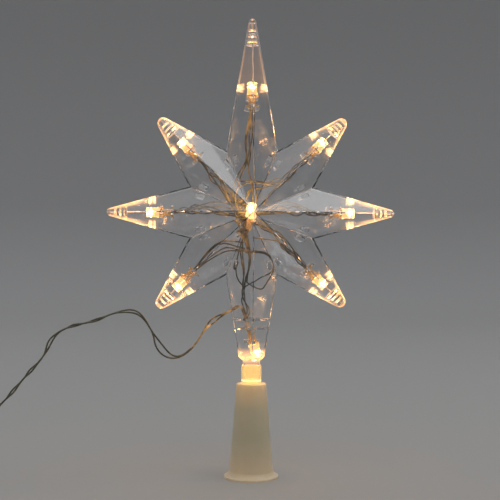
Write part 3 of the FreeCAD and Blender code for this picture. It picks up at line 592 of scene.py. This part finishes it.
# ---------------------------------------------------------------- wires inside the star
WIRING = {
    "top": [(0.0, 54.5, 0.0), (-0.5, 45.0, 0.0), (-2.5, 36.0, -0.5), (-3.2, 27.0, -0.5), (-6.0, 18.0, 1.0),
            (-5.0, 8.0, 1.0), (-4.0, 3.0, 0.5)],
    "upper_right": [(29.1, 29.1, 0.0), (21.0, 20.5, 0.0), (14.0, 14.6, 0.0), (6.0, 14.4, 1.5), (-1.5, 12.0, 2.5),
                    (-3.8, 4.0, 1.0)],
    "right": [(40.8, 0.0, 0.0), (30.0, -0.6, 0.0), (21.0, 1.2, 0.6), (11.0, 0.8, 0.4), (3.0, -0.4, -1.0),
              (-3.4, -1.0, -1.0)],
    "lower_right": [(29.2, -29.2, 0.0), (22.0, -21.5, 0.0), (15.5, -14.0, 0.5), (9.0, -8.0, 3.0),
                    (2.0, -4.6, 4.4), (-3.4, -4.6, 1.0)],
    "bottom": [(-0.07, -61.3, 0.0), (-2.4, -54.0, 0.0), (-3.4, -46.0, 0.4), (-3.9, -36.0, 0.2)],
    "lower_left": [(-30.5, -30.5, 0.0), (-23.0, -22.5, 0.0), (-16.0, -14.5, 0.0), (-9.0, -12.5, 0.5),
                   (-2.9, -13.5, 0.4)],
    "left": [(-41.6, 0.0, 0.0), (-32.0, 1.0, 0.0), (-22.0, 1.6, -0.6), (-12.0, -0.8, 0.0), (-3.0, -2.0, 0.4)],
    "upper_left": [(-28.3, 28.3, 0.0), (-20.5, 20.0, 0.0), (-13.5, 12.0, -0.8), (-8.5, 4.0, -0.5),
                   (-3.0, -4.0, 0.0)],
}
CENTRE_WIRING = [
    [(-1.75, -5.3, -5.8), (-2.2, -8.5, -3.4), (-3.3, -13.6, -0.2)],
    [(0.3, -2.1, 2.6), (0.3, -4.2, -0.8), (-0.8, -8.4, -0.9), (-3.3, -11.6, -0.2)],
]
LEAD_INSIDE = [(-3.0, -52.5, 0.5), (-3.6, -49.4, 0.9), (-4.7, -47.0, 0.4), (-7.6, -46.9, 0.0), (-10.6, -48.9, 0.0)]
# Single wires that stand off their ray's bundle.
LOOSE_WIRES = {
    "top": [
        [(-0.3, 54.5, 0.3), (-0.9, 45.0, 0.4), (-2.9, 36.0, -0.2), (-2.2, 26.0, -0.6), (-6.4, 19.8, -1.4),
         (-9.4, 13.6, -2.0), (-9.8, 8.4, -2.0), (-7.4, 2.0, -1.6)],
        [(0.3, 54.5, -0.3), (-2.0, 44.0, -0.4), (-3.6, 34.0, -0.8), (-1.7, 26.0, -0.8), (-5.2, 18.6, -0.6),
         (-8.0, 11.4, -1.0), (-8.0, 5.0, -1.0), (-5.6, -1.0, -0.6)],
        [(0.5, 54.5, 0.0), (0.9, 44.0, 0.4), (0.3, 36.0, 0.8), (-2.0, 28.0, 0.4), (-1.4, 21.4, 0.0),
         (-0.4, 16.0, -0.4), (0.9, 10.6, -0.6), (0.6, 4.6, -0.8)],
        [(-0.5, 54.5, 0.0), (-0.2, 45.0, 1.0), (-1.4, 37.0, 0.8), (0.0, 29.0, 0.9), (-1.9, 22.0, 1.2),
         (0.4, 15.0, 0.6), (2.3, 9.6, 0.0), (1.4, 3.4, 0.0)]],
    "upper_right": [[(21.4, 20.4, 0.6), (15.4, 14.8, 0.6), (10.6, 11.2, 0.2), (7.4, 7.6, 0.0), (5.4, 4.2, 0.4)]],
    "right": [
        [(33.0, -0.4, -0.6), (24.4, 3.6, -1.2), (18.2, 5.4, -2.0), (13.4, 4.6, -1.6), (8.4, 1.8, -1.4),
         (3.0, -0.2, -1.6)],
        [(30.0, -0.2, 0.6), (22.0, 3.4, 0.4), (15.0, 3.8, 0.0), (9.0, 0.6, -0.4), (3.4, -1.2, -0.8)]],
    "lower_right": [
        [(22.6, -21.4, -0.6), (16.2, -16.0, -0.8), (12.6, -13.4, -0.8), (6.0, -13.0, -0.8), (0.6, -12.4, -1.0)],
        [(22.0, -21.9, 0.8), (14.4, -15.8, 1.0), (11.0, -9.0, 1.6), (5.4, -3.8, 1.6), (2.0, -2.2, 1.0)]],
    "lower_left": [
        [(-30.5, -30.5, 0.2), (-24.0, -23.0, 0.4), (-18.6, -17.0, 0.6), (-14.4, -14.6, 0.6), (-8.0, -16.4, 0.6),
         (-3.0, -17.8, 0.4)],
        [(-30.5, -30.5, -0.2), (-23.4, -23.8, 0.0), (-17.6, -19.4, -0.4), (-12.6, -16.6, -0.6), (-6.0, -18.6, -1.2),
         (-1.0, -18.6, -1.2)],
        [(-30.5, -30.5, 0.0), (-23.6, -24.8, -0.4), (-17.0, -20.8, -0.8), (-12.0, -18.4, -1.0),
         (-4.0, -19.2, -1.6), (2.0, -19.0, -2.2)],
        [(-30.3, -30.7, 0.0), (-24.4, -22.8, -0.3), (-19.4, -16.8, 0.0), (-13.6, -13.6, 0.0), (-8.6, -14.0, 0.0),
         (-3.6, -14.6, 0.2)]],
    "left": [
        [(-33.0, 1.0, 0.4), (-23.4, 4.4, 0.6), (-16.2, 5.6, 0.4), (-10.6, 4.0, 0.0), (-7.2, 1.6, 0.0),
         (-3.6, -1.2, 0.2)],
        [(-32.4, 0.8, -0.4), (-24.0, 2.2, -0.6), (-15.6, 3.0, -0.8), (-9.0, 1.2, -0.8), (-3.6, -1.2, -0.6)]],
    "upper_left": [
        [(-21.0, 19.8, 0.6), (-15.6, 12.4, 0.6), (-12.0, 6.0, 0.2), (-9.4, 2.0, 0.0), (-5.0, -3.4, 0.2)],
        [(-20.6, 20.4, -0.8), (-13.4, 14.2, -1.2), (-9.4, 8.6, -1.4), (-6.6, 2.8, -1.0), (-2.6, -2.6, -0.6)]],
}
# Wires of the tangle: down the bundle, round the knot, and slack that stands off it.
CORE_WIRES = [
    [(-3.9, 5.0, -1.0), (-2.2, -1.0, -1.9), (-5.2, -8.0, -1.4), (-2.6, -16.0, -1.2), (-0.6, -23.0, -0.6),
     (-1.0, -28.0, -0.4), (-3.2, -33.0, -0.2), (-3.2, -38.0, 0.2)],
    [(-2.8, 4.0, 1.2), (-5.4, -3.0, 0.8), (-2.4, -10.0, 0.6), (-0.6, -17.0, 0.2), (0.0, -24.0, 0.6),
     (-1.8, -31.0, 0.4), (-3.8, -37.0, 0.6)],
    [(-5.4, 2.0, 0.0), (-3.4, -6.0, 1.4), (-5.4, -14.0, 1.0), (-5.2, -23.0, -0.4), (-3.4, -31.0, -0.8),
     (-4.2, -37.0, -0.4)],
    [(-1.8, 1.0, -0.6), (-4.4, -9.0, -1.8), (-1.0, -16.0, -1.6), (-0.9, -24.0, -1.0), (-2.2, -35.0, -1.0)],
    [(-6.4, 4.0, -1.2), (-7.6, -2.0, -1.2), (-6.2, -8.0, -0.6), (-4.2, -13.0, 0.0), (-4.4, -22.0, 0.2),
     (-3.0, -30.0, 0.2), (-4.4, -36.0, 0.8)],
    [(-8.6, 1.0, -1.2), (-7.2, -4.0, -1.8), (-5.6, -9.4, -1.8), (-2.6, -12.4, -1.2), (-1.6, -18.0, -0.2)],
    [(-3.6, -11.0, -1.6), (-5.6, -17.0, -1.4), (-7.2, -23.0, -0.8), (-7.7, -28.8, -0.6), (-7.1, -32.4, -0.8),
     (-5.2, -35.4, -0.8), (-3.4, -36.8, -0.4)],
    [(-7.4, 1.0, -2.6), (-8.6, 6.0, -2.6), (-8.2, 11.0, -2.8), (-4.6, 14.0, -3.0), (1.4, 15.4, -2.6),
     (7.8, 14.0, -1.8), (14.0, 13.0, -0.8)],
    [(-8.0, 15.4, -1.6), (-2.7, 15.8, -1.6), (1.4, 16.0, -1.6), (7.8, 14.6, -1.0), (15.7, 15.0, -0.4)],
    [(-2.6, -19.6, -0.8), (2.8, -18.7, -2.4), (8.8, -20.4, -2.2), (11.3, -26.4, -1.0), (10.2, -30.0, -1.0),
     (6.6, -35.8, -1.2), (4.9, -38.4, -1.6), (0.6, -37.0, -1.5), (-3.2, -33.6, -0.4)],
    [(-3.0, -19.9, -1.6), (2.6, -19.4, -2.0), (8.4, -20.9, -1.6), (11.0, -26.0, -0.6), (9.6, -30.0, -0.6),
     (4.6, -31.8, -1.0), (0.4, -34.8, -1.2), (-3.4, -37.0, -0.8)],
]
KNOT = [(-3.8, 7.0, 0.0), (-3.6, 1.0, -0.4), (-4.6, -5.0, 0.0), (-3.7, -11.4, 0.0)]
KNOT_TURNS = ((2.2, 5.1), (3.0, 7.6), (1.7, 3.6), (3.6, 9.0))    # radius and pitch of each wire round the knot


def in_star(points):
    """Offsets in X and Z from the star's centre, then Y, as points of the frame."""
    return [STAR + Vector((across, depth, along)) * MM for across, along, depth in points]


def star_line(points, step):
    return even_line(smooth_line(in_star(points)), step)


def wire_piece(name, lines, radius, *stands_for, sides=8):
    verts, faces = [], []
    for line in lines:
        add_tube(verts, faces, line, radius, sides)
    piece = new_mesh(name, verts, faces, MATERIALS["wire_insulation"])
    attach(piece, "star")
    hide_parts(*stands_for)


def make_wiring():
    rng = random.Random(3)
    for name, points in WIRING.items():
        line = star_line(points, WIRE_STEP)
        spread = lambda t: (0.5 + 1.2 * math.sin(math.pi * min(1, t * 1.1)) ** 2) * MM
        count = 0 if name in ("top", "lower_left") else 3      # these two have loose wires only
        wires = strands(line, count, spread, 21.0 * MM, rng, wander=0.6)
        wires += [star_line(loose, WIRE_STEP) for loose in LOOSE_WIRES.get(name, [])]
        wire_piece("wires_" + name, wires, THIN_WIRE_R, "wiring_" + name)
    tangle = [star_line(points, WIRE_STEP) for points in CORE_WIRES]
    knot = star_line(KNOT, KNOT_STEP)
    for radius, pitch in KNOT_TURNS:
        tangle += strands(knot, 1, lambda t, r=radius: r * MM, pitch * MM, rng, wander=0.4)
    wire_piece("wires_core", tangle, THIN_WIRE_R, "wiring_core")
    centre = []
    for points in CENTRE_WIRING:
        centre += strands(star_line(points, WIRE_STEP), 2, lambda t: 0.42 * MM, 8.0 * MM, rng)
    wire_piece("wires_centre", centre, THIN_WIRE_R, "wiring_centre")
    pair = strands(star_line(LEAD_INSIDE, LEAD_STEP), 2, lambda t: 0.45 * MM, 9.0 * MM, rng, wander=0.3)
    wire_piece("lead_within", pair, WIRE_R, "lead_inside", sides=10)


# ---------------------------------------------------------------- lamps
# The way that a lamp points, where it isn't straight out from the star's centre.
LAMP_WAYS = {"bottom": (0.2588, 0, -0.9659), "centre_front": (0.1, -0.6, 0.79), "centre_rear": (0, 0.85, 0.53)}
BEHIND_FLANGE = 1.5 * MM
LAMP_WATTS = {name: 0.01 for name in WIRING} | {"lower_left": 0.015, "centre_front": 0.045, "centre_rear": 0.01}
LIGHT_RADIUS, LIGHT_AT, CHIP_OFF_AXIS = 1.0 * MM, 3.8 * MM, 0.3 * MM
# The phosphor's outline: distance along the lamp from its flange, and radius.
GLOW_OUTLINE = ((2.95, 0.5), (3.05, 0.8), (3.5, 0.85), (3.7, 1.2), (4.0, 1.35), (4.25, 1.25), (4.45, 0.8),
                (4.52, 0.3))
GLOW_SIDES = 20


def lamp_axis(name):
    """(point on the axis at the flange's back, way, side towards the chip) of a lamp, from its lens."""
    points = [v.co for v in frame["nodes"]["lamp_lens_" + name].data.vertices]
    middle = sum(points, Vector()) / len(points)
    way = Vector(LAMP_WAYS[name]).normalized() if name in LAMP_WAYS else (middle - STAR).normalized()
    turn = Vector((0, 0, 1)).rotation_difference(way)
    side, up = turn @ Vector((1, 0, 0)), turn @ Vector((0, 1, 0))
    low = min(p.dot(way) for p in points)
    body = [p for p in points if p.dot(way) > low + BEHIND_FLANGE]
    centre = way * low
    for axis in (side, up):
        reach = [p.dot(axis) for p in body]
        centre = centre + axis * (min(reach) + max(reach)) / 2
    return centre, way, -side


def make_lamps():
    """The lit phosphor of every lamp, with a light in it."""
    for name in [n[len("lamp_lens_"):] for n in frame["nodes"] if n.startswith("lamp_lens_")]:
        at, way, chip = lamp_axis(name)
        at = at + chip * CHIP_OFF_AXIS
        up = way.cross(chip)
        verts, rings = [], len(GLOW_OUTLINE)
        for along, radius in GLOW_OUTLINE:
            for k in range(GLOW_SIDES):
                a = math.tau * k / GLOW_SIDES
                verts.append(at + way * along * MM + (chip * math.cos(a) + up * math.sin(a)) * radius * MM)
        faces = ring_faces(0, rings, GLOW_SIDES) + end_faces(0, rings, GLOW_SIDES)
        glow = new_mesh("lamp_glow_" + name, verts, faces, MATERIALS["lamp_glow"])
        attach(glow, "star")
        lamp_light("lamp_light_" + name, at + way * LIGHT_AT, LAMP_WATTS[name])


# ---------------------------------------------------------------- stage and lights
FLOOR_RADIUS, SWEEP, WALL_TOP, STAGE_SIDES = 1.3, 0.9, 2.4, 64
SOFTBOX_WAY, SOFTBOX_AWAY, SOFTBOX_SIZE, SOFTBOX_RADIANCE = Vector((0.45, -0.15, 0.88)), 1.0, 0.36, 1.6


def make_stage():
    """A round pale floor that sweeps up into a wall all round."""
    profile = [(0.0, 0.0), (0.6, 0.0), (FLOOR_RADIUS, 0.0)]
    for a in (math.radians(degrees) for degrees in range(10, 91, 10)):
        profile.append((FLOOR_RADIUS + SWEEP * math.sin(a), SWEEP - SWEEP * math.cos(a)))
    profile += [(FLOOR_RADIUS + SWEEP, 1.6), (FLOOR_RADIUS + SWEEP, WALL_TOP)]
    verts = []
    for r, z in profile:
        for k in range(STAGE_SIDES):
            a = math.tau * k / STAGE_SIDES
            verts.append((r * math.cos(a), r * math.sin(a), z))
    faces = ring_faces(0, len(profile), STAGE_SIDES)
    stage = new_mesh("stage", verts, faces, stage_paper().material)


def square_light(name, at, target, size, radiance):
    data = bpy.data.lights.new(name, "AREA")
    data.shape, data.size, data.size_y = "RECTANGLE", size, size
    data.energy = radiance * math.pi * size * size
    light = bpy.data.objects.new(name, data)
    light.location = at
    light.rotation_euler = (target - at).to_track_quat("-Z", "Y").to_euler()
    bpy.context.scene.collection.objects.link(light)


def lamp_light(name, at, watts):
    """A small warm light that isn't seen itself: the lit phosphor is what shows."""
    data = bpy.data.lights.new(name, "POINT")
    data.energy, data.color, data.shadow_soft_size = watts, (1.0, 0.52, 0.18), LIGHT_RADIUS
    light = bpy.data.objects.new(name, data)
    light.location = at
    light.visible_camera = light.visible_glossy = light.visible_transmission = False
    bpy.context.scene.collection.objects.link(light)


def make_lights():
    scene = bpy.context.scene
    world = bpy.data.worlds.new("world")
    world.use_nodes = True
    background = world.node_tree.nodes["Background"]
    background.inputs["Color"].default_value = (0.97, 0.98, 1.0, 1)
    background.inputs["Strength"].default_value = 0.9
    scene.world = world
    scene.view_settings.view_transform = "Standard"
    softbox_at = STAR + SOFTBOX_WAY.normalized() * SOFTBOX_AWAY
    square_light("softbox", softbox_at, STAR, SOFTBOX_SIZE, SOFTBOX_RADIANCE)


def allow_deep_glass():
    """Light crosses many clear faces inside the star, so paths are let run on."""
    cycles = bpy.context.scene.cycles
    cycles.max_bounces = cycles.transmission_bounces = cycles.transparent_max_bounces = 48
    cycles.glossy_bounces = 20


make_camera()
make_lead()
dress_cad_nodes()
make_wiring()
make_lamps()
make_stage()
make_lights()
allow_deep_glass()
